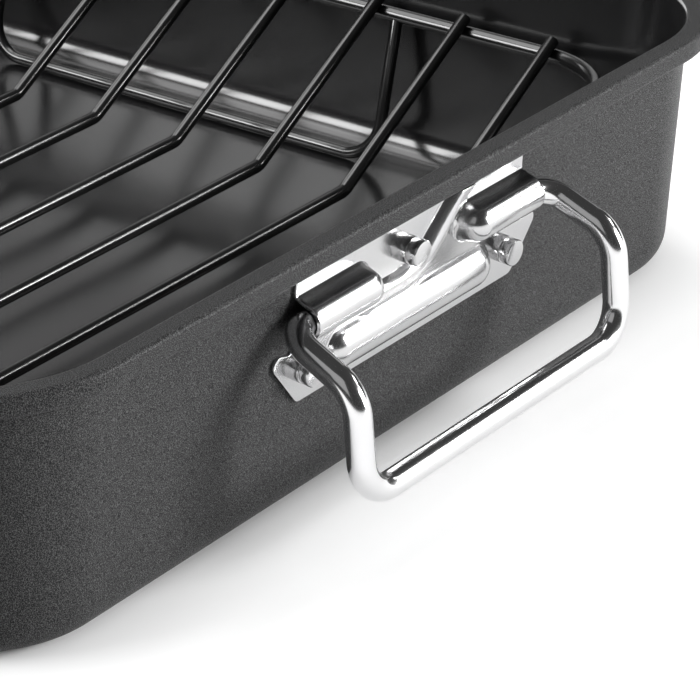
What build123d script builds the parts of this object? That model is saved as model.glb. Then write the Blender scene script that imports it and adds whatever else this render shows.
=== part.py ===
"""Roasting pan with a lift-out wire rack and two swinging bail handles.

Millimetres. X runs along the pan from handle to handle, Y across it and Z up.
The origin is the middle of the pan's underside. The end at +X is called the front end.
"""
from build123d import *
import os
from math import cos, radians, sin, tan

# Pan, pressed from one sheet, measured over its rolled rim
rim_length = 389.0
rim_width = 310.0
pan_height = 70.7
sheet = 1.0
wall_draft = 4.3
rim_corner = 42.8
rim_reach = 6.1
rim_skirt = 5.6
rim_curl = 2.8
rim_bend = 1.9
rim_edge_bend = 1.3
rim_curl_bend = 1.2
floor_bend = 8.4
floor_lap = 4.0

# The handle turns about a line below the rim, and the bracket's heights are set from that line.
# They are measured up the wall, as drops below the line or rises above it.
pivot_to_rim = 17.9
pivot_height = pan_height - pivot_to_rim

# Handle bracket, one stamped steel plate at each end
plate = 1.0
plate_to_rim = 7.3
plate_drop = 22.8
plate_low = pivot_height - plate_drop
plate_top = pan_height - plate_to_rim
plate_half_width = 45.5
wing_root_in = 2.1
wing_reach = 10.8
wing_tip_drop = 6.4
wing_neck_drop = 9.4
wing_root_round = 2.6
wing_tip_round = 2.2
wing_neck_round = 1.4
plate_top_round = 0.8

# Channels of the bracket, which hold the ends of the handle against the wall
wire_to_wall = 0.33
wire_to_channel = 0.3
channel_end_half = 18.0

# Raised ledge of the bracket below and beside the upper rivet, and the stiffening rib under it
ledge_rise = 1.9
ledge_drop = 2.6
ledge_turn = -1.4
ledge_climb = 41.0
ledge_left = 18.0
ledge_pad_left = 24.0
ledge_round = 7.0
ledge_band = 5.6
ledge_slope = 40.0
rib_to_edge = 12.5
rib_half_length = plate_half_width - rib_to_edge
rib_low_drop = 20.8
rib_top_drop = 9.3
rib_rise = 3.5

# Rivets, three through each bracket and end wall
rivet_shank = 2.0
rivet_collar_radius = 3.5
rivet_collar_height = 2.0
rivet_groove_radius = 3.1
rivet_groove_height = 0.5
rivet_head_radius = 3.45
rivet_head_height = 2.5
rivet_head_round = 0.35
rivet_tail_radius = 4.6
rivet_tail_height = 1.5
rivet_shift = -2.4
upper_rivet_rise = 1.8
lower_rivet_drop = 13.5
lower_rivet_in = 5.1

# Bail handle, bent from one round bar, its legs measured from the pivot
bail_bar = 3.39
bail_knuckle_reach = 6.3
bail_knuckle_half = plate_half_width + bail_knuckle_reach
bail_grip_spread = 1.0
bail_grip_half = bail_knuckle_half + bail_grip_spread
bail_shoulder_out = 20.0
bail_shoulder_drop = 8.8
bail_grip_out = 22.1
bail_grip_drop = 35.7
bail_knuckle_bend = 7.5
bail_shoulder_bend = 10.4
bail_grip_bend = 9.8

# Wire rack, resistance welded from round wire
rail_wire = 2.1
cross_wire = 1.85
foot_wire = 1.75
rail_end_gap = 33.9
rail_side_gap = 13.5
rail_height = 44.1
rail_corner = 28.0
cross_count = 10
cross_pitch = 29.69
cross_height = 16.05
cross_slope = 29.66
cross_bend = 5.6
cross_overhang = 2.6
weld_sink = 0.15
foot_half_span = 73.5
foot_shift = 7.0
foot_lean = 11.3
foot_bend = 11.5
foot_gap = 0.3

# Cuts run this far past the faces that they open
overrun = 6.0


def wall_inset(height):
    """How far the outside of a wall lies in from the rim's outermost line."""
    skirt_foot = pan_height - rim_skirt
    return rim_reach + (skirt_foot - height) * tan(radians(wall_draft))


def round_loop(half_length, half_width, radius):
    """A rounded rectangle as one closed line, starting in the middle of the front end."""
    x, y = half_length, half_width
    half = FilletPolyline((x, 0), (x, y), (-x, y), (-x, 0), radius=radius)
    other = Rot(0, 0, 180) * half
    return Wire(half.edges() + other.edges())


def wall_section():
    """Floor edge, wall and rolled rim in one strip of sheet, seen along Y."""
    inner_skin = sheet / cos(radians(wall_draft))
    foot = wall_inset(sheet) + inner_skin
    top = wall_inset(pan_height) + inner_skin
    skirt_foot = pan_height - rim_skirt
    visible = FilletPolyline(
        (-foot - floor_lap - floor_bend, sheet),
        (-foot, sheet),
        (-top, pan_height),
        (0, pan_height),
        (0, skirt_foot),
        (-rim_curl, skirt_foot),
        radius=[floor_bend, rim_bend, rim_edge_bend, rim_curl_bend],
    )
    return make_face(offset(visible, amount=sheet, side=Side.RIGHT))


def pan_shell():
    """The pan: flat floor, drafted walls and a rolled rim, drilled for the rivets."""
    at_front = Plane(origin=(rim_length / 2, 0, 0), x_dir=(1, 0, 0), z_dir=(0, -1, 0))
    rim_line = round_loop(rim_length / 2, rim_width / 2, rim_corner)
    walls = sweep(at_front * wall_section(), path=rim_line)
    floor_inset = wall_inset(sheet) + floor_bend + floor_lap / 2
    length = rim_length - 2 * floor_inset
    width = rim_width - 2 * floor_inset
    floor = extrude(RectangleRounded(length, width, rim_corner - floor_inset), amount=sheet)
    shell = walls + floor
    for end in (front_end, rear_end):
        for place in rivet_places():
            shell -= end(place * Cylinder(rivet_shank, 4 * (sheet + plate)))
    return shell.clean()


def wall_plane():
    """The outside of the front end wall: x across it, y up it, z out of it."""
    lean = radians(wall_draft)
    foot = (rim_length / 2 - wall_inset(0), 0, 0)
    return Plane(origin=foot, x_dir=(0, 1, 0), z_dir=(cos(lean), 0, -sin(lean)))


def front_end(shape):
    return wall_plane().location * shape


def rear_end(shape):
    return Rot(0, 0, 180) * front_end(shape)


def rivet_places():
    """Where the three rivets pass through the wall plane."""
    apart = plate_half_width - lower_rivet_in
    left = rivet_shift - apart
    right = rivet_shift + apart
    return [
        Pos(rivet_shift, pivot_height + upper_rivet_rise, 0),
        Pos(left, pivot_height - lower_rivet_drop, 0),
        Pos(right, pivot_height - lower_rivet_drop, 0),
    ]


def plate_outline():
    """The plate is straight under the rim and spreads into two wings below."""
    right = [
        (plate_half_width - wing_root_in, plate_low),
        (plate_half_width + wing_reach, pivot_height - wing_tip_drop),
        (plate_half_width, pivot_height - wing_neck_drop),
        (plate_half_width, plate_top),
    ]
    left = [(-x, y) for x, y in reversed(right)]
    rounds = [wing_root_round, wing_tip_round, wing_neck_round, plate_top_round]
    return make_face(
        FilletPolyline(*right, *left, radius=rounds + rounds[::-1], close=True)
    )


def channel(radius, inner_end, outer_end, side):
    """A half-round tunnel with a round blind end, open towards the wall."""
    axis_out = wire_to_wall + bail_bar
    length = outer_end - inner_end - radius
    middle = side * (inner_end + radius + length / 2)
    blind = side * (inner_end + radius)
    tunnel = Pos(middle, pivot_height, axis_out) * Rot(0, 90, 0) * Cylinder(radius, length)
    cheeks = Pos(middle, pivot_height, axis_out / 2) * Box(length, 2 * radius, axis_out)
    dome = Pos(blind, pivot_height, axis_out) * Sphere(radius)
    post = Pos(blind, pivot_height, axis_out / 2) * Cylinder(radius, axis_out)
    return tunnel + cheeks + dome + post


def channel_bore_radius():
    return bail_bar + wire_to_channel


def ledge_ground(left, spread, slope):
    """Ground round the upper rivet: flat underneath, then climbing aslant past the plate's top."""
    low = pivot_height - ledge_drop - spread
    turn = ledge_turn + spread * tan(radians(ledge_climb / 2))
    top = plate_top + overrun
    end = turn + (top - low) / tan(radians(ledge_climb))
    corners = [(-left, low), (turn, low), (end, top), (-left, top)]
    outline = FilletPolyline(*corners, radius=[0, ledge_round, 0, 0], close=True)
    return extrude(make_face(outline), amount=ledge_rise, taper=slope)


def ledge(loss):
    """The raised band under the upper rivet's pad; loss thins it for the hollow behind it."""
    block = ledge_ground(ledge_left - loss, ledge_band - loss, ledge_slope / 2)
    pad = ledge_ground(ledge_pad_left, loss, -ledge_slope)
    return block - pad


def rib(radius_loss):
    """The stiffening rib: a round bar lying partly behind the plate."""
    half_height = (rib_low_drop - rib_top_drop) / 2
    radius = (half_height**2 + rib_rise**2) / (2 * rib_rise)
    depth = plate + rib_rise - radius
    middle = pivot_height - (rib_low_drop + rib_top_drop) / 2
    straight = rib_half_length - half_height
    bar = Pos(0, middle, depth) * Rot(0, 90, 0) * Cylinder(radius - radius_loss, 2 * straight)
    for side in (-1, 1):
        bar += Pos(side * straight, middle, depth) * Sphere(radius - radius_loss)
    return bar


def handle_bracket():
    """One stamped plate: two wire channels, a raised ledge, a rib and three rivet holes."""
    bore = channel_bore_radius()
    bracket = extrude(plate_outline(), amount=plate) + rib(0) + Pos(0, 0, plate) * ledge(0)
    for side in (-1, 1):
        bracket += channel(bore + plate, channel_end_half, plate_half_width, side)
    bracket -= rib(plate) + ledge(plate)
    for side in (-1, 1):
        bracket -= channel(bore, channel_end_half + plate, plate_half_width + overrun, side)
    for place in rivet_places():
        bracket -= place * Cylinder(rivet_shank, 4 * plate)
    return bracket & extrude(plate_outline(), amount=plate_top)


upright = (Align.CENTER, Align.CENTER, Align.MIN)


def rivet():
    """A two-step rivet, its tail a low dome on the inside of the wall."""
    shank = Pos(0, 0, -sheet) * Cylinder(rivet_shank, sheet + plate, align=upright)
    collar = Pos(0, 0, plate) * Cylinder(rivet_collar_radius, rivet_collar_height, align=upright)
    groove_foot = plate + rivet_collar_height
    groove = Pos(0, 0, groove_foot) * Cylinder(rivet_groove_radius, rivet_groove_height, align=upright)
    head_foot = groove_foot + rivet_groove_height
    head = Pos(0, 0, head_foot) * Cylinder(rivet_head_radius, rivet_head_height, align=upright)
    head = fillet(head.edges().group_by(Axis.Z)[-1], rivet_head_round)
    dome_radius = (rivet_tail_radius**2 + rivet_tail_height**2) / (2 * rivet_tail_height)
    dome = Pos(0, 0, -sheet - rivet_tail_height + dome_radius) * Sphere(dome_radius)
    behind = Pos(0, 0, -sheet) * Cylinder(
        rivet_tail_radius, rivet_tail_height, align=(Align.CENTER, Align.CENTER, Align.MAX)
    )
    return shank + collar + groove + head + (dome & behind)


def pivot_point():
    """The handle's pivot axis crosses the front end's middle plane here."""
    here = wall_plane().from_local_coords(Vector(0, pivot_height, wire_to_wall + bail_bar))
    return here.X, here.Z


def bent_wire(points, bends, radius):
    """Round wire bent along a line of points."""
    path = FilletPolyline(*points, radius=bends)
    start = Plane(origin=path @ 0, z_dir=path % 0)
    return sweep(start * Circle(radius), path=path)


def bail_handle():
    """Grip, two cranked legs and two ends that turn in the bracket's channels."""
    x, z = pivot_point()
    end = channel_end_half + plate + channel_bore_radius()
    half = [
        (x, end, z),
        (x, bail_knuckle_half, z),
        (x + bail_shoulder_out, bail_grip_half, z - bail_shoulder_drop),
        (x + bail_grip_out, bail_grip_half, z - bail_grip_drop),
    ]
    other = [(px, -py, pz) for px, py, pz in reversed(half)]
    bends = [bail_knuckle_bend, bail_shoulder_bend, bail_grip_bend]
    return bent_wire(half + other, bends + bends[::-1], bail_bar)


def rail_half_width():
    """The rail follows the pan, its centre line this far from the middle on each long side."""
    return rim_width / 2 - rail_side_gap


def rack_rail():
    """The closed rail round the top of the rack."""
    half_length = rim_length / 2 - rail_end_gap
    path = round_loop(half_length, rail_half_width(), rail_corner)
    section = Plane(origin=(half_length, 0, 0), z_dir=(0, 1, 0)) * Circle(rail_wire)
    return Pos(0, 0, rail_height) * sweep(section, path=path)


def cross_line():
    """Half of a cross wire's centre line in Y and Z: bend, then the end over the rail."""
    slope = radians(cross_slope)
    lift = rail_wire + cross_wire - weld_sink
    over_y = rail_half_width() - lift * sin(slope)
    over_z = rail_height + lift * cos(slope)
    bend_y = over_y - (over_z - cross_height) / tan(slope)
    end = (over_y + cross_overhang * cos(slope), over_z + cross_overhang * sin(slope))
    return [(bend_y, cross_height), end]


def cross_wires():
    """The V-shaped bed: flat runs in the middle, both ends rising to the rail."""
    half = cross_line()
    line = [(-y, z) for y, z in reversed(half)] + half
    first = -(cross_count - 1) / 2
    wires = []
    for index in range(cross_count):
        x = (first + index) * cross_pitch
        points = [(x, y, z) for y, z in line]
        wires.append(bent_wire(points, cross_bend, cross_wire))
    return wires


def rack_foot(side):
    """A U of wire hanging from one long side of the rail and standing on the pan's floor."""
    floor_z = sheet + foot_gap + foot_wire
    fall = rail_height - floor_z
    inside = rail_wire / 2 / (fall**2 + foot_lean**2) ** 0.5
    top = (side * (rail_half_width() - foot_lean * inside), rail_height - fall * inside)
    near, far = foot_shift + foot_half_span, foot_shift - foot_half_span
    run_y = side * (rail_half_width() - foot_lean)
    points = [(near, *top), (near, run_y, floor_z), (far, run_y, floor_z), (far, *top)]
    return bent_wire(points, foot_bend, foot_wire)


def report(nodes):
    for name, shape in nodes.items():
        size = shape.bounding_box().size
        print(f"{name}: {shape.volume:.0f} mm3, {size.X:.1f} x {size.Y:.1f} x {size.Z:.1f}")


nodes = {"pan_shell": pan_shell()}
bracket = handle_bracket()
bail = bail_handle()
one_rivet = rivet()
half_turn = Rot(0, 0, 180)
for end_name, end, turn in (("front", front_end, Rot(0, 0, 0)), ("rear", rear_end, half_turn)):
    nodes[f"{end_name}_handle_bracket"] = end(bracket)
    nodes[f"{end_name}_bail_handle"] = turn * bail
    for rivet_name, place in zip(("upper", "left", "right"), rivet_places()):
        nodes[f"{end_name}_{rivet_name}_rivet"] = end(place * one_rivet)
nodes["rack_rail"] = rack_rail()
for number, wire in enumerate(cross_wires(), start=1):
    nodes[f"rack_cross_wire_{number:02d}"] = wire
nodes["rack_left_foot"] = rack_foot(1)
nodes["rack_right_foot"] = rack_foot(-1)

os.makedirs("parts", exist_ok=True)
for name, shape in nodes.items():
    export_step(shape, f"parts/{name}.step")
report(nodes)
x, z = pivot_point()
print(f"handle pivots at x {x:.3f}, z {z:.3f}")
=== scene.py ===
"""Roasting pan with a wire rack and two swinging handles: finishes, light and camera."""

from math import ceil, cos, pi, radians, sin, sqrt, tan

import bpy
from mathutils import Matrix, Quaternion, Vector
from mathutils.geometry import delaunay_2d_cdt


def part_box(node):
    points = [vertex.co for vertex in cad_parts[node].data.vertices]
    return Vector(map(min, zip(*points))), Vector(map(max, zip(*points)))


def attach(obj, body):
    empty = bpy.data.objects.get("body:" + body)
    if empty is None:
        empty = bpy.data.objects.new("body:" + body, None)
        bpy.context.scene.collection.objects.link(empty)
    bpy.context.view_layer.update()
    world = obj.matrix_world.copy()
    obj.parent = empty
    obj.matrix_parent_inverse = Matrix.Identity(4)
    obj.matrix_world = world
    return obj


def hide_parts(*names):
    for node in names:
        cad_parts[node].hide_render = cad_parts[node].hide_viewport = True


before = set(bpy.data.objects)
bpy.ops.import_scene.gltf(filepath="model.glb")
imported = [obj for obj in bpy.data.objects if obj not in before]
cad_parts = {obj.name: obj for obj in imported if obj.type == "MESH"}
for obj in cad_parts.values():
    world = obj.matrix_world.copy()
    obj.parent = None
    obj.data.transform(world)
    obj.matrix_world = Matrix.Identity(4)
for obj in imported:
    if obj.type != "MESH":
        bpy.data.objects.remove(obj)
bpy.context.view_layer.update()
mm = 0.001


# Pan: one pressed steel sheet with a flat floor, walls that lean out and a rim rolled over and down.
# Outside and rim carry a satin coat full of fine flake; inside is a smooth, glossy non-stick coat.
# The loops of its mesh follow the rim, each a step further along the bent edge of the sheet.
pan_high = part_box("pan_shell")[1]
half_length, half_width, pan_height = pan_high.x, pan_high.y, pan_high.z
sheet = 1.0 * mm
wall_draft = radians(4.3)
rim_corner = 42.8 * mm
rim_reach = 6.1 * mm
rim_skirt = 5.6 * mm
rim_curl = 2.8 * mm
rim_bend = 1.9 * mm
rim_edge_bend = 1.3 * mm
rim_curl_bend = 1.2 * mm
floor_bend = 8.4 * mm
floor_lap = 4.0 * mm
sharp_turn = radians(36)


def bent_line(points, bends, turn_step=radians(4)):
    """Points along a line of straights and arcs, with one bend radius for each inner point."""
    points = [Vector(p) for p in points]
    line = [points[0]]
    for before, corner, after, bend in zip(points, points[1:], points[2:], bends):
        coming = (corner - before).normalized()
        going = (after - corner).normalized()
        turn = coming.angle(going)
        axis = coming.cross(going).normalized()
        first = corner - coming * bend * tan(turn / 2)
        centre = first + axis.cross(coming) * bend
        steps = max(2, ceil(turn / turn_step))
        for step in range(steps + 1):
            swing = Quaternion(axis, turn * step / steps)
            line.append(centre + swing @ (first - centre))
    return line + [points[-1]]


def wall_inset(height):
    """How far the outside of a wall lies in from the rim's outermost line."""
    return rim_reach + (pan_height - rim_skirt - height) * tan(wall_draft)


def sheet_edge():
    """The sheet's bent edge from floor to curl: its seen side, then its hidden side."""
    skin = sheet / cos(wall_draft)
    foot = wall_inset(sheet) + skin
    top = wall_inset(pan_height) + skin
    skirt_foot = pan_height - rim_skirt
    corners = [
        (foot + floor_lap + floor_bend, 0, sheet),
        (foot, 0, sheet),
        (top, 0, pan_height),
        (0, 0, pan_height),
        (0, 0, skirt_foot),
        (rim_curl, 0, skirt_foot),
    ]
    seen = bent_line(corners, [floor_bend, rim_bend, rim_edge_bend, rim_curl_bend])
    hidden = []
    for index, point in enumerate(seen):
        along = seen[min(index + 1, len(seen) - 1)] - seen[max(index - 1, 0)]
        under = Vector((-along.z, 0, along.x)).normalized()
        hidden.append(point + under * sheet)
    return seen, hidden


def rim_loop(inset, height, steps=28):
    """One closed loop of the pan, set in from the rim's outermost line."""
    loop = []
    corner_x, corner_y = half_length - rim_corner, half_width - rim_corner
    for quarter, (side_x, side_y) in enumerate(((1, 1), (-1, 1), (-1, -1), (1, -1))):
        centre = Vector((side_x * corner_x, side_y * corner_y, height))
        for step in range(steps + 1):
            angle = (quarter + step / steps) * pi / 2
            loop.append(centre + Vector((cos(angle), sin(angle), 0)) * (rim_corner - inset))
    return loop


def new_piece(name, vertices, faces):
    """A smooth mesh piece, shaded sharp only where its faces turn sharply."""
    mesh = bpy.data.meshes.new(name)
    mesh.from_pydata([tuple(v) for v in vertices], [], faces)
    mesh.update()
    piece = bpy.data.objects.new(name, mesh)
    bpy.context.scene.collection.objects.link(piece)
    mesh.shade_smooth()
    mesh.set_sharp_from_angle(angle=sharp_turn)
    return piece


def pan_mesh():
    """The whole pan: coat 0 inside, coat 1 on the rim and outside."""
    seen, hidden = sheet_edge()
    section = seen + hidden[::-1]
    vertices, faces, coats = [], [], []
    for point in section:
        vertices += rim_loop(point.x, point.z)
    around = len(vertices) // len(section)
    rim_start = max(i for i, p in enumerate(seen) if p.x > rim_reach and p.z < pan_height)
    for row in range(len(section) - 1):
        for column in range(around):
            after = (column + 1) % around
            a, b = row * around + column, row * around + after
            faces.append((a, a + around, b + around, b))
            coats.append(0 if row < rim_start else 1)
    last = (len(section) - 1) * around
    faces.append(tuple(range(around)))
    coats.append(0)
    faces.append(tuple(range(last, last + around))[::-1])
    coats.append(1)
    piece = new_piece("pan", vertices, faces)
    for face, coat in zip(piece.data.polygons, coats):
        face.material_index = coat
    return piece


def material(name):
    """A new material, with its node tree and its shader."""
    made = bpy.data.materials.new(name)
    made.use_nodes = True
    return made, made.node_tree, made.node_tree.nodes["Principled BSDF"]


def grain_group():
    """Fine grain for any finish: a speckle value and a soft cloud value, sizes in grains a metre."""
    group = bpy.data.node_groups.new("fine_grain", "ShaderNodeTree")
    group.interface.new_socket("Grain", in_out="INPUT", socket_type="NodeSocketFloat")
    group.interface.new_socket("Cloud", in_out="INPUT", socket_type="NodeSocketFloat")
    group.interface.new_socket("Speckle", in_out="OUTPUT", socket_type="NodeSocketFloat")
    group.interface.new_socket("Patches", in_out="OUTPUT", socket_type="NodeSocketFloat")
    nodes, links = group.nodes, group.links
    enter, leave = nodes.new("NodeGroupInput"), nodes.new("NodeGroupOutput")
    place = nodes.new("ShaderNodeTexCoord")
    for socket, out, detail in (("Grain", "Speckle", 2.0), ("Cloud", "Patches", 3.0)):
        noise = nodes.new("ShaderNodeTexNoise")
        noise.inputs["Detail"].default_value = detail
        noise.inputs["Roughness"].default_value = 0.6
        links.new(place.outputs["Object"], noise.inputs["Vector"])
        links.new(enter.outputs[socket], noise.inputs["Scale"])
        links.new(noise.outputs["Fac"], leave.inputs[out])
    return group


fine_grain = grain_group()


def grained(tree, grain, cloud):
    """The shared grain inside one material, at that finish's own two sizes."""
    node = tree.nodes.new("ShaderNodeGroup")
    node.node_tree = fine_grain
    node.inputs["Grain"].default_value = grain
    node.inputs["Cloud"].default_value = cloud
    return node


def ramp(tree, value, stops):
    """A colour or a grey for each value, from stops of a place and a shade."""
    node = tree.nodes.new("ShaderNodeValToRGB")
    elements = node.color_ramp.elements
    while len(elements) < len(stops):
        elements.new(0.5)
    for element, (position, shade) in zip(elements, stops):
        element.position = position
        element.color = (*shade, 1) if isinstance(shade, tuple) else (shade, shade, shade, 1)
    tree.links.new(value, node.inputs["Fac"])
    return node


def bump(tree, shader, height, strength, distance):
    """Relief too fine for the mesh, its depth in metres."""
    node = tree.nodes.new("ShaderNodeBump")
    node.inputs["Strength"].default_value = strength
    node.inputs["Distance"].default_value = distance
    tree.links.new(height, node.inputs["Height"])
    tree.links.new(node.outputs["Normal"], shader.inputs["Normal"])


def flake_coat():
    """Satin charcoal coat with fine bright flake."""
    made, tree, shader = material("flake_coat")
    grain = grained(tree, 4200.0, 14.0)
    colour = ramp(tree, grain.outputs["Speckle"], [
        (0.38, (0.010, 0.010, 0.0104)),
        (0.50, (0.026, 0.026, 0.0264)),
        (0.60, (0.105, 0.105, 0.106)),
    ])
    rough = ramp(tree, grain.outputs["Speckle"], [(0.35, 0.50), (0.65, 0.40)])
    tree.links.new(colour.outputs["Color"], shader.inputs["Base Color"])
    tree.links.new(rough.outputs["Color"], shader.inputs["Roughness"])
    shader.inputs["Specular IOR Level"].default_value = 0.08
    bump(tree, shader, grain.outputs["Speckle"], 0.45, 0.08 * mm)
    return made


def slick_coat():
    """Smooth non-stick coat inside the pan: near black and glossy, with soft uneven patches."""
    made, tree, shader = material("slick_coat")
    grain = grained(tree, 900.0, 18.0)
    colour = ramp(tree, grain.outputs["Patches"], [
        (0.3, (0.012, 0.012, 0.0124)),
        (0.7, (0.015, 0.015, 0.0154)),
    ])
    rough = ramp(tree, grain.outputs["Patches"], [(0.3, 0.17), (0.7, 0.20)])
    tree.links.new(colour.outputs["Color"], shader.inputs["Base Color"])
    tree.links.new(rough.outputs["Color"], shader.inputs["Roughness"])
    shader.inputs["Specular IOR Level"].default_value = 1.0
    bump(tree, shader, grain.outputs["Speckle"], 0.01, 0.01 * mm)
    return made


pan = pan_mesh()
pan.data.materials.append(slick_coat())
pan.data.materials.append(flake_coat())
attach(pan, "pan")
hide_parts("pan_shell")


# Handle brackets: one bright steel plate at each end, stamped with two blind channels for the wire,
# a raised ledge beside the upper rivet and a stiffening rib, and riveted flat against the wall.
# Heights run up the wall from the pan's foot, and relief is the height of the sheet off the wall.
plate = 1.0 * mm
plate_low = 30.0 * mm
plate_top = 63.4 * mm
plate_half_width = 45.5 * mm
wing_root_half = 43.4 * mm
wing_tip_half = 56.3 * mm
wing_tip_height = 46.4 * mm
wing_neck_height = 43.4 * mm
wing_root_round = 2.6 * mm
wing_tip_round = 2.2 * mm
wing_neck_round = 1.4 * mm
plate_top_round = 0.8 * mm
plate_edge_break = 0.15 * mm
pivot_height = 52.8 * mm
bail_bar = 3.39 * mm
wire_to_wall = 0.33 * mm
wire_to_channel = 0.3 * mm
axis_out = bail_bar + wire_to_wall
channel_radius = bail_bar + wire_to_channel + plate
channel_end_half = 18.0 * mm
channel_side_lean = radians(76)
channel_fillet = 1.6 * mm
ledge_rise = 2.3 * mm
ledge_height = 50.2 * mm
ledge_turn = -1.4 * mm
ledge_climb = radians(41)
ledge_turn_fillet = 4.0 * mm
ledge_slope_width = 2.4 * mm
ledge_slope_wider = 1.6 * mm
ledge_slope_narrower = 1.2 * mm
ledge_fades_from = 4.6 * mm
ledge_fades_to = 9.0 * mm
ledge_starts = -22 * mm
ledge_is_full = -17 * mm
rib_half_length = 33.0 * mm
rib_low = 32.0 * mm
rib_top = 43.5 * mm
rib_rise = 3.5 * mm
rib_fillet = 0.5 * mm


def wall_frame():
    """The outside of the front end wall: x across it, y up it, z out of it."""
    across = Vector((0, 1, 0))
    out = Vector((cos(wall_draft), 0, -sin(wall_draft)))
    up = out.cross(across)
    turn = Matrix((across, up, out)).transposed().to_4x4()
    foot = Vector((half_length - wall_inset(0), 0, 0))
    return Matrix.Translation(foot) @ turn


front_wall = wall_frame()
ends = (("front", Matrix()), ("rear", Matrix.Rotation(pi, 4, "Z")))


def soft_max(a, b, blend):
    """The higher of two heights, with a fillet where they cross."""
    mix = max(blend - abs(a - b), 0.0) / blend
    return max(a, b) + mix * mix * blend / 4


def smooth_step(low, high, value):
    """From 0 at low to 1 at high, easing in and out."""
    share = min(max((value - low) / (high - low), 0.0), 1.0)
    return share * share * (3 - 2 * share)


def channel_relief(x, y):
    """A half round over the wire, its sides leaning out to the plate, its inner end a dome."""
    spine = channel_end_half + channel_radius
    off = Vector((max(spine - abs(x), 0.0), y - pivot_height)).length
    shoulder = channel_radius * sin(channel_side_lean)
    if off < shoulder:
        return axis_out + sqrt(channel_radius**2 - off**2)
    return axis_out + channel_radius * cos(channel_side_lean) - (off - shoulder) * tan(channel_side_lean)


def ledge_relief(x, y):
    """Raised band under the upper rivet's pad, that turns up aslant to the plate's top edge.

    Its slope widens past the rivet and narrows again towards the top edge.
    """
    aslant = (x - ledge_turn) * sin(ledge_climb) - (y - ledge_height) * cos(ledge_climb)
    beyond = soft_max(ledge_height - y, aslant, ledge_turn_fillet)
    wider = ledge_slope_wider * smooth_step(-5 * mm, 5 * mm, x)
    narrower = ledge_slope_narrower * smooth_step(54 * mm, 63 * mm, y)
    share = min(max(beyond / (ledge_slope_width + wider - narrower), 0.0), 1.0)
    rise = sin(share * pi / 2)
    fade = 1 - smooth_step(ledge_fades_from, ledge_fades_to, beyond)
    start = smooth_step(ledge_starts, ledge_is_full, x)
    return plate + ledge_rise * rise * fade * start


def rib_relief(x, y):
    """A long rib with round ends, an arc across."""
    half_height = (rib_top - rib_low) / 2
    radius = (half_height**2 + rib_rise**2) / (2 * rib_rise)
    straight = rib_half_length - half_height
    off = Vector((max(abs(x) - straight, 0.0), y - (rib_top + rib_low) / 2)).length
    if off >= radius:
        return 0.0
    return plate + rib_rise - radius + sqrt(radius**2 - off**2)


def relief(x, y):
    """Height of the plate's front off the wall."""
    ground = ledge_relief(x, y)
    ground = soft_max(ground, rib_relief(x, y), rib_fillet)
    return soft_max(ground, channel_relief(x, y), channel_fillet)


def plate_outline(spacing=0.7 * mm):
    """Points round the flat plate, no further apart than about the spacing."""
    right = [
        (0, plate_low, 0),
        (wing_root_half, plate_low, 0),
        (wing_tip_half, wing_tip_height, 0),
        (plate_half_width, wing_neck_height, 0),
        (plate_half_width, plate_top, 0),
        (0, plate_top, 0),
    ]
    rounds = [wing_root_round, wing_tip_round, wing_neck_round, plate_top_round]
    corners = bent_line(right, rounds, radians(12))[1:-1]
    outline = []
    loop = corners + [Vector((-p.x, p.y, 0)) for p in reversed(corners)]
    for start, end in zip(loop, loop[1:] + loop[:1]):
        steps = max(1, round((end - start).length / spacing))
        outline += [start.lerp(end, step / steps) for step in range(steps)]
    return outline


def grid_lines(low, high, coarse, fine, dense):
    """Grid places from low to high, close together inside the dense ranges."""
    lines, place = [low], low
    while place < high:
        inside = any(a <= place <= b for a, b in dense)
        place = min(place + (fine if inside else coarse), high)
        lines.append(place)
    return lines


def plate_points(margin=0.25 * mm):
    """The outline, and a grid inside it that is finest where the stamping turns sharply."""
    spine = channel_end_half + channel_radius
    dome = channel_end_half - 2 * mm
    rib_out, rib_in = rib_half_length + mm, rib_half_length - 6 * mm
    columns = [(-spine, -dome), (dome, spine), (-rib_out, -rib_in), (rib_in, rib_out)]
    columns.append((-6 * mm, channel_end_half))
    across = grid_lines(-wing_tip_half, wing_tip_half, 0.9 * mm, 0.3 * mm, columns)
    rows = [(rib_low - mm, rib_top + mm), (pivot_height - channel_radius - 2.2 * mm, plate_top)]
    up = grid_lines(plate_low, plate_top, 0.5 * mm, 0.28 * mm, rows)
    inside = []
    for y in up:
        if y > wing_neck_height:
            edge = plate_half_width
        else:
            climbed = (y - plate_low) / (wing_tip_height - plate_low)
            edge = wing_root_half + (wing_tip_half - wing_root_half) * climbed
        for x in across:
            if abs(x) < edge - margin and plate_low + margin < y < plate_top - margin:
                inside.append(Vector((x, y)))
    return [p.to_2d() for p in plate_outline()], inside


def stamped_plate(name):
    """The plate's front face, raised from its flat outline, in the wall's own frame."""
    outline, inside = plate_points()
    ring = list(range(len(outline)))
    flat, _, faces, _, _, _ = delaunay_2d_cdt(outline + inside, [], [ring], 1, 1e-7)
    vertices = [Vector((p.x, p.y, relief(p.x, p.y))) for p in flat]
    return new_piece(name, vertices, faces)


def bright_steel(name, tone, roughness, streaks):
    """Polished bright steel with faint drawing marks."""
    made, tree, shader = material(name)
    grain = grained(tree, 700.0, 60.0)
    colour = ramp(tree, grain.outputs["Patches"], [
        (0.3, (tone - 0.02, tone - 0.02, tone - 0.01)),
        (0.7, (tone + 0.02, tone + 0.02, tone + 0.02)),
    ])
    rough = ramp(tree, grain.outputs["Patches"], [(0.3, roughness), (0.7, roughness + 0.03)])
    tree.links.new(colour.outputs["Color"], shader.inputs["Base Color"])
    tree.links.new(rough.outputs["Color"], shader.inputs["Roughness"])
    shader.inputs["Metallic"].default_value = 1.0
    bump(tree, shader, grain.outputs["Speckle"], streaks, 0.01 * mm)
    return made


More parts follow.
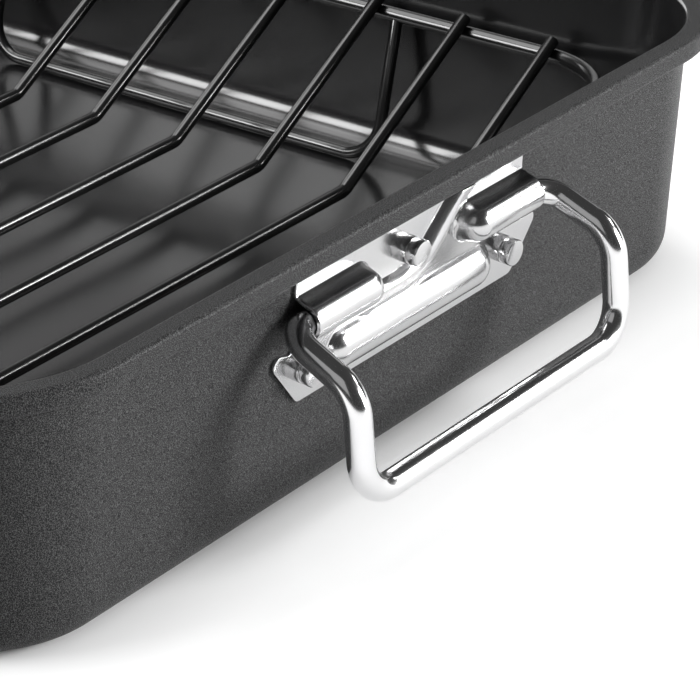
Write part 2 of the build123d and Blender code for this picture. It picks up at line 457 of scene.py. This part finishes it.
plate_steel = bright_steel("plate_steel", 0.54, 0.18, 0.02)
for end, turn in ends:
    bracket = stamped_plate(f"{end}_bracket")
    bracket.data.transform(turn @ front_wall)
    thick = bracket.modifiers.new("sheet", "SOLIDIFY")
    thick.thickness = plate
    thick.offset = -1
    thick.use_even_offset = True
    edge = bracket.modifiers.new("edge", "BEVEL")
    edge.width = plate_edge_break
    edge.segments = 2
    edge.limit_method = "ANGLE"
    edge.angle_limit = radians(60)
    bracket.data.materials.append(plate_steel)
    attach(bracket, "pan")
    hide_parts(f"{end}_handle_bracket")


# Rivets: three through each bracket and wall, a collar, a thin neck and a flat head outside,
# and a low dome inside the pan. They are turned from bright steel and closed cold.
# Each point of an outline is a radius and a height off the wall, in millimetres.
rivet_head = [(0.0, 6.0), (2.9, 6.0), (3.25, 5.9), (3.45, 5.6), (3.45, 3.75), (3.35, 3.55)]
rivet_neck = [(3.1, 3.5), (3.1, 3.1), (3.2, 3.0)]
rivet_collar = [(3.4, 2.95), (3.5, 2.75), (3.5, 0.9)]
rivet_shank = [(2.0, 0.9), (2.0, -1.0)]
rivet_tail = [(4.6, -1.0), (4.45, -1.25), (3.9, -1.75), (2.9, -2.15), (1.6, -2.4), (0.0, -2.5)]
rivet_outline = rivet_head + rivet_neck + rivet_collar + rivet_shank + rivet_tail
rivet_shift = -2.4 * mm
upper_rivet_height = 54.6 * mm
lower_rivet_height = 39.3 * mm
lower_rivet_half = 40.4 * mm


def turned(name, outline, sides=48):
    """A turned piece: its outline in millimetres, spun round the z axis."""
    vertices, faces, rows = [], [], []
    for radius, height in outline:
        if radius == 0:
            rows.append([len(vertices)] * sides)
            vertices.append(Vector((0, 0, height * mm)))
            continue
        rows.append(list(range(len(vertices), len(vertices) + sides)))
        for side in range(sides):
            angle = 2 * pi * side / sides
            vertices.append(Vector((radius * cos(angle), radius * sin(angle), height)) * mm)
    for upper, lower in zip(rows, rows[1:]):
        for side in range(sides):
            after = (side + 1) % sides
            corners = (upper[side], lower[side], lower[after], upper[after])
            faces.append(tuple(dict.fromkeys(corners)))
    return new_piece(name, vertices, faces)


rivet_steel = bright_steel("rivet_steel", 0.54, 0.20, 0.04)
rivet_places = {
    "upper": (rivet_shift, upper_rivet_height),
    "left": (rivet_shift - lower_rivet_half, lower_rivet_height),
    "right": (rivet_shift + lower_rivet_half, lower_rivet_height),
}
for end, turn in ends:
    for place, (x, y) in rivet_places.items():
        rivet = turned(f"{end}_{place}_rivet_head", rivet_outline)
        rivet.data.transform(turn @ front_wall @ Matrix.Translation((x, y, 0)))
        rivet.data.materials.append(rivet_steel)
        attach(rivet, "pan")
        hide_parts(f"{end}_{place}_rivet")


# Handles: one round bar each, bent cold into a bail with cranked legs, then polished bright.
# The two ends turn in, and run loose in the bracket's channels. They swing on the pan's pivots.
bail_knuckle_half = 51.8 * mm
bail_grip_half = 52.8 * mm
bail_shoulder_out = 20.0 * mm
bail_shoulder_drop = 8.8 * mm
bail_grip_out = 22.1 * mm
bail_grip_drop = 35.7 * mm
bail_knuckle_bend = 7.5 * mm
bail_shoulder_bend = 10.4 * mm
bail_grip_bend = 9.8 * mm


def wire(name, line, radius, sides=32, closed=False, end_share=0.3):
    """Round wire along a line of points; open ends have their edge broken in two steps."""
    count = len(line)
    tangents = []
    for index in range(count):
        if closed:
            before, after = line[index - 1], line[(index + 1) % count]
        else:
            before, after = line[max(index - 1, 0)], line[min(index + 1, count - 1)]
        tangents.append((after - before).normalized())
    side = tangents[0].orthogonal().normalized()
    rings = []
    for index, (point, tangent) in enumerate(zip(line, tangents)):
        if index:
            side = tangents[index - 1].rotation_difference(tangent) @ side
        side = (side - tangent * side.dot(tangent)).normalized()
        rings.append((point, tangent, side, radius))
    if not closed:
        for end, way in ((0, -1), (-1, 1)):
            point, tangent, across, _ = rings[end]
            back = end_share * radius
            step_back = back * end_share
            inner = (point - way * tangent * back, tangent, across, radius)
            middle = (point - way * tangent * step_back, tangent, across, radius - step_back)
            outer = (point, tangent, across, radius - back)
            rings[end] = inner
            if end == 0:
                rings = [outer, middle] + rings
            else:
                rings = rings + [middle, outer]
    vertices, faces = [], []
    for point, tangent, across, ring_radius in rings:
        other = tangent.cross(across)
        for step in range(sides):
            angle = 2 * pi * step / sides
            vertices.append(point + (across * cos(angle) + other * sin(angle)) * ring_radius)
    spans = len(rings) if closed else len(rings) - 1
    for row in range(spans):
        for step in range(sides):
            after = (step + 1) % sides
            a, b = row * sides, (row + 1) % len(rings) * sides
            faces.append((a + step, a + after, b + after, b + step))
    if not closed:
        faces.append(tuple(range(sides))[::-1])
        faces.append(tuple(range(len(vertices) - sides, len(vertices))))
    return new_piece(name, vertices, faces)


def bail_line():
    """The handle's centre line in the photo's pose, from one inner end to the other."""
    pivot = front_wall @ Vector((0, pivot_height, axis_out))
    end = channel_end_half + channel_radius
    half = [
        Vector((pivot.x, end, pivot.z)),
        Vector((pivot.x, bail_knuckle_half, pivot.z)),
        Vector((pivot.x + bail_shoulder_out, bail_grip_half, pivot.z - bail_shoulder_drop)),
        Vector((pivot.x + bail_grip_out, bail_grip_half, pivot.z - bail_grip_drop)),
    ]
    other = [Vector((p.x, -p.y, p.z)) for p in reversed(half)]
    bends = [bail_knuckle_bend, bail_shoulder_bend, bail_grip_bend]
    return bent_line(half + other, bends + bends[::-1], radians(3))


bail_steel = bright_steel("bail_steel", 0.70, 0.14, 0.02)
for end, turn in ends:
    bail = wire(f"{end}_bail", bail_line(), bail_bar, sides=64)
    bail.data.transform(turn)
    bail.data.materials.append(bail_steel)
    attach(bail, f"{end}_handle")
    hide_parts(f"{end}_bail_handle")


# Rack: round wire welded up and dipped in a glossy black coat: a closed rail with rounded corners,
# ten cross wires bent to a shallow V that lie on the rail's inner side, and two U-shaped feet.
rail_wire = 2.1 * mm
cross_wire = 1.85 * mm
foot_wire = 1.75 * mm
rail_end_gap = 33.9 * mm
rail_side_gap = 13.5 * mm
rail_height = 44.1 * mm
rail_corner = 28.0 * mm
cross_count = 10
cross_pitch = 29.69 * mm
cross_height = 16.05 * mm
cross_slope = radians(29.66)
cross_bend = 5.6 * mm
cross_overhang = 2.6 * mm
weld_sink = 0.15 * mm
foot_half_span = 73.5 * mm
foot_shift = 7.0 * mm
foot_lean = 11.3 * mm
foot_bend = 11.5 * mm
foot_gap = 0.3 * mm
rail_half_length = half_length - rail_end_gap
rail_half_width = half_width - rail_side_gap


def rail_line():
    """The rail's centre line, a closed rounded rectangle."""
    line = []
    steps = 24
    corner_x, corner_y = rail_half_length - rail_corner, rail_half_width - rail_corner
    for quarter, (side_x, side_y) in enumerate(((1, 1), (-1, 1), (-1, -1), (1, -1))):
        centre = Vector((side_x * corner_x, side_y * corner_y, rail_height))
        for step in range(steps + 1):
            angle = (quarter + step / steps) * pi / 2
            line.append(centre + Vector((cos(angle), sin(angle), 0)) * rail_corner)
    return line


def cross_line(x):
    """A cross wire's centre line, laid on the rail at both sides and bent down between."""
    lift = rail_wire + cross_wire - weld_sink
    over = Vector((x, rail_half_width - lift * sin(cross_slope), rail_height + lift * cos(cross_slope)))
    bend_y = over.y - (over.z - cross_height) / tan(cross_slope)
    end = over + Vector((0, cos(cross_slope), sin(cross_slope))) * cross_overhang
    half = [Vector((x, bend_y, cross_height)), end]
    other = [Vector((x, -p.y, p.z)) for p in reversed(half)]
    return bent_line(other + half, [cross_bend, cross_bend], radians(3))


def foot_line(side):
    """A foot's centre line: down from the rail, along just above the pan's floor, and up again."""
    floor_z = sheet + foot_gap + foot_wire
    fall = rail_height - floor_z
    inside = rail_wire / 2 / sqrt(fall**2 + foot_lean**2)
    top_y = side * (rail_half_width - foot_lean * inside)
    top_z = rail_height - fall * inside
    run_y = side * (rail_half_width - foot_lean)
    near, far = foot_shift + foot_half_span, foot_shift - foot_half_span
    points = [(near, top_y, top_z), (near, run_y, floor_z), (far, run_y, floor_z), (far, top_y, top_z)]
    return bent_line(points, [foot_bend, foot_bend], radians(4))


def dip_coat():
    """Glossy black coat on the wire, thick enough to look wet."""
    made, tree, shader = material("dip_coat")
    grain = grained(tree, 500.0, 90.0)
    colour = ramp(tree, grain.outputs["Patches"], [(0.3, 0.011), (0.7, 0.017)])
    rough = ramp(tree, grain.outputs["Patches"], [(0.3, 0.17), (0.7, 0.22)])
    tree.links.new(colour.outputs["Color"], shader.inputs["Base Color"])
    tree.links.new(rough.outputs["Color"], shader.inputs["Roughness"])
    shader.inputs["Specular IOR Level"].default_value = 1.0
    bump(tree, shader, grain.outputs["Speckle"], 0.05, 0.02 * mm)
    return made


rack_coat = dip_coat()
rack_pieces = {"rack_rail": wire("rail", rail_line(), rail_wire, closed=True)}
for number in range(1, cross_count + 1):
    x = (number - (cross_count + 1) / 2) * cross_pitch
    name = f"cross_wire_{number:02d}"
    rack_pieces[f"rack_{name}"] = wire(name, cross_line(x), cross_wire)
for side, name in ((1, "left"), (-1, "right")):
    rack_pieces[f"rack_{name}_foot"] = wire(f"{name}_foot", foot_line(side), foot_wire)
for node, piece in rack_pieces.items():
    piece.data.materials.append(rack_coat)
    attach(piece, "rack")
    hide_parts(node)


# Floor: a matt white table under the pan, which keeps the shadow the lamps cast. To the eye and in the
# steel it is lifted to clean white. Occlusion close to the pan dims that lift, a painted contact shadow.
floor_reach = 6.0
floor_drop = 0.05 * mm
painted_shadow_reach = 22 * mm
floor_corners = [(x * floor_reach, y * floor_reach, 0) for x, y in ((-1, -1), (1, -1), (1, 1), (-1, 1))]
floor_mesh = bpy.data.meshes.new("floor")
floor_mesh.from_pydata(floor_corners, [], [(0, 1, 2, 3)])
floor = bpy.data.objects.new("floor", floor_mesh)
floor.location.z = -floor_drop
bpy.context.scene.collection.objects.link(floor)
white_floor, floor_tree, floor_shader = material("white_floor")
floor_shader.inputs["Base Color"].default_value = (0.9, 0.9, 0.9, 1)
floor_shader.inputs["Roughness"].default_value = 1.0
floor_shader.inputs["Specular IOR Level"].default_value = 0.0
floor_shader.inputs["Emission Color"].default_value = (0.46, 0.46, 0.46, 1)
light_path = floor_tree.nodes.new("ShaderNodeLightPath")
seen_rays = floor_tree.nodes.new("ShaderNodeMath")
seen_rays.operation = "MAXIMUM"
floor_tree.links.new(light_path.outputs["Is Camera Ray"], seen_rays.inputs[0])
floor_tree.links.new(light_path.outputs["Is Glossy Ray"], seen_rays.inputs[1])
# Painted contact shadow: occlusion near the pan scales down the floor's white lift.
painted_shadow_occlusion = floor_tree.nodes.new("ShaderNodeAmbientOcclusion")
painted_shadow_occlusion.inputs["Distance"].default_value = painted_shadow_reach
lifted = floor_tree.nodes.new("ShaderNodeMath")
lifted.operation = "MULTIPLY"
floor_tree.links.new(seen_rays.outputs[0], lifted.inputs[0])
floor_tree.links.new(painted_shadow_occlusion.outputs["AO"], lifted.inputs[1])
floor_tree.links.new(lifted.outputs[0], floor_shader.inputs["Emission Strength"])
floor_mesh.materials.append(white_floor)


# Studio: a dim room with one strong soft light beyond the handle end. The others, all round, are the
# pale lines and patches in the steel, along the wires and round the pan's base.
world = bpy.data.worlds.new("studio")
bpy.context.scene.world = world
world.use_nodes = True
world.node_tree.nodes["Background"].inputs["Color"].default_value = (1, 1, 1, 1)
world.node_tree.nodes["Background"].inputs["Strength"].default_value = 0.05


def soft_light(name, direction, distance, width, height, power):
    """A rectangular soft light that faces the pan's middle: metres and watts."""
    data = bpy.data.lights.new(name, "AREA")
    data.shape = "RECTANGLE"
    data.size, data.size_y = width, height
    data.energy = power
    light = bpy.data.objects.new(name, data)
    place = Vector(direction).normalized()
    light.location = place * distance
    light.rotation_euler = (-place).to_track_quat("-Z", "Y").to_euler()
    bpy.context.scene.collection.objects.link(light)


soft_light("left_box", (-0.54, -0.72, 0.52), 2.0, 1.0, 0.7, 21)
soft_light("far_left_box", (-0.87, 0.4, 0.32), 2.2, 1.1, 1.1, 10)
soft_light("left_upper_box", (-0.45, -0.45, 0.80), 2.0, 0.8, 0.5, 2.5)
soft_light("front_card", (0.15, -0.8, 0.6), 2.2, 1.7, 1.5, 3)
soft_light("end_box", (0.79, 0.56, 0.27), 3.0, 1.2, 1.2, 122)
soft_light("top_box", (-0.4, 0.03, 0.9), 1.8, 1.5, 1.1, 15)
soft_light("edge_strip", (0.45, 0.74, 0.5), 2.0, 0.6, 0.12, 3)
soft_light("back_card", (-0.56, 0.72, 0.42), 2.5, 3.0, 1.4, 5.5)


# Camera: a long lens above the pan's near corner. The frame is a crop of a larger picture, and the
# shift puts the view's middle where that picture had it.
view_from = Vector((637.0, -615.5, 405.5)) * mm
view_turn = radians(35.56)
view_tilt = radians(23.9)
focal_pixels = 3532.0
picture = 700.0
middle_x, middle_y = 441.4, 191.7
camera_data = bpy.data.cameras.new("camera")
camera_data.sensor_width = 36.0
camera_data.lens = focal_pixels / picture * camera_data.sensor_width
camera_data.shift_x = (picture / 2 - middle_x) / picture
camera_data.shift_y = (middle_y - picture / 2) / picture
camera_data.clip_end = 20.0
camera = bpy.data.objects.new("camera", camera_data)
camera.location = view_from
looking = Vector((-sin(view_turn) * cos(view_tilt), cos(view_turn) * cos(view_tilt), -sin(view_tilt)))
camera.rotation_euler = looking.to_track_quat("-Z", "Y").to_euler()
bpy.context.scene.collection.objects.link(camera)
bpy.context.scene.camera = camera
bpy.context.scene.view_settings.view_transform = "Standard"

bpy.context.view_layer.update()
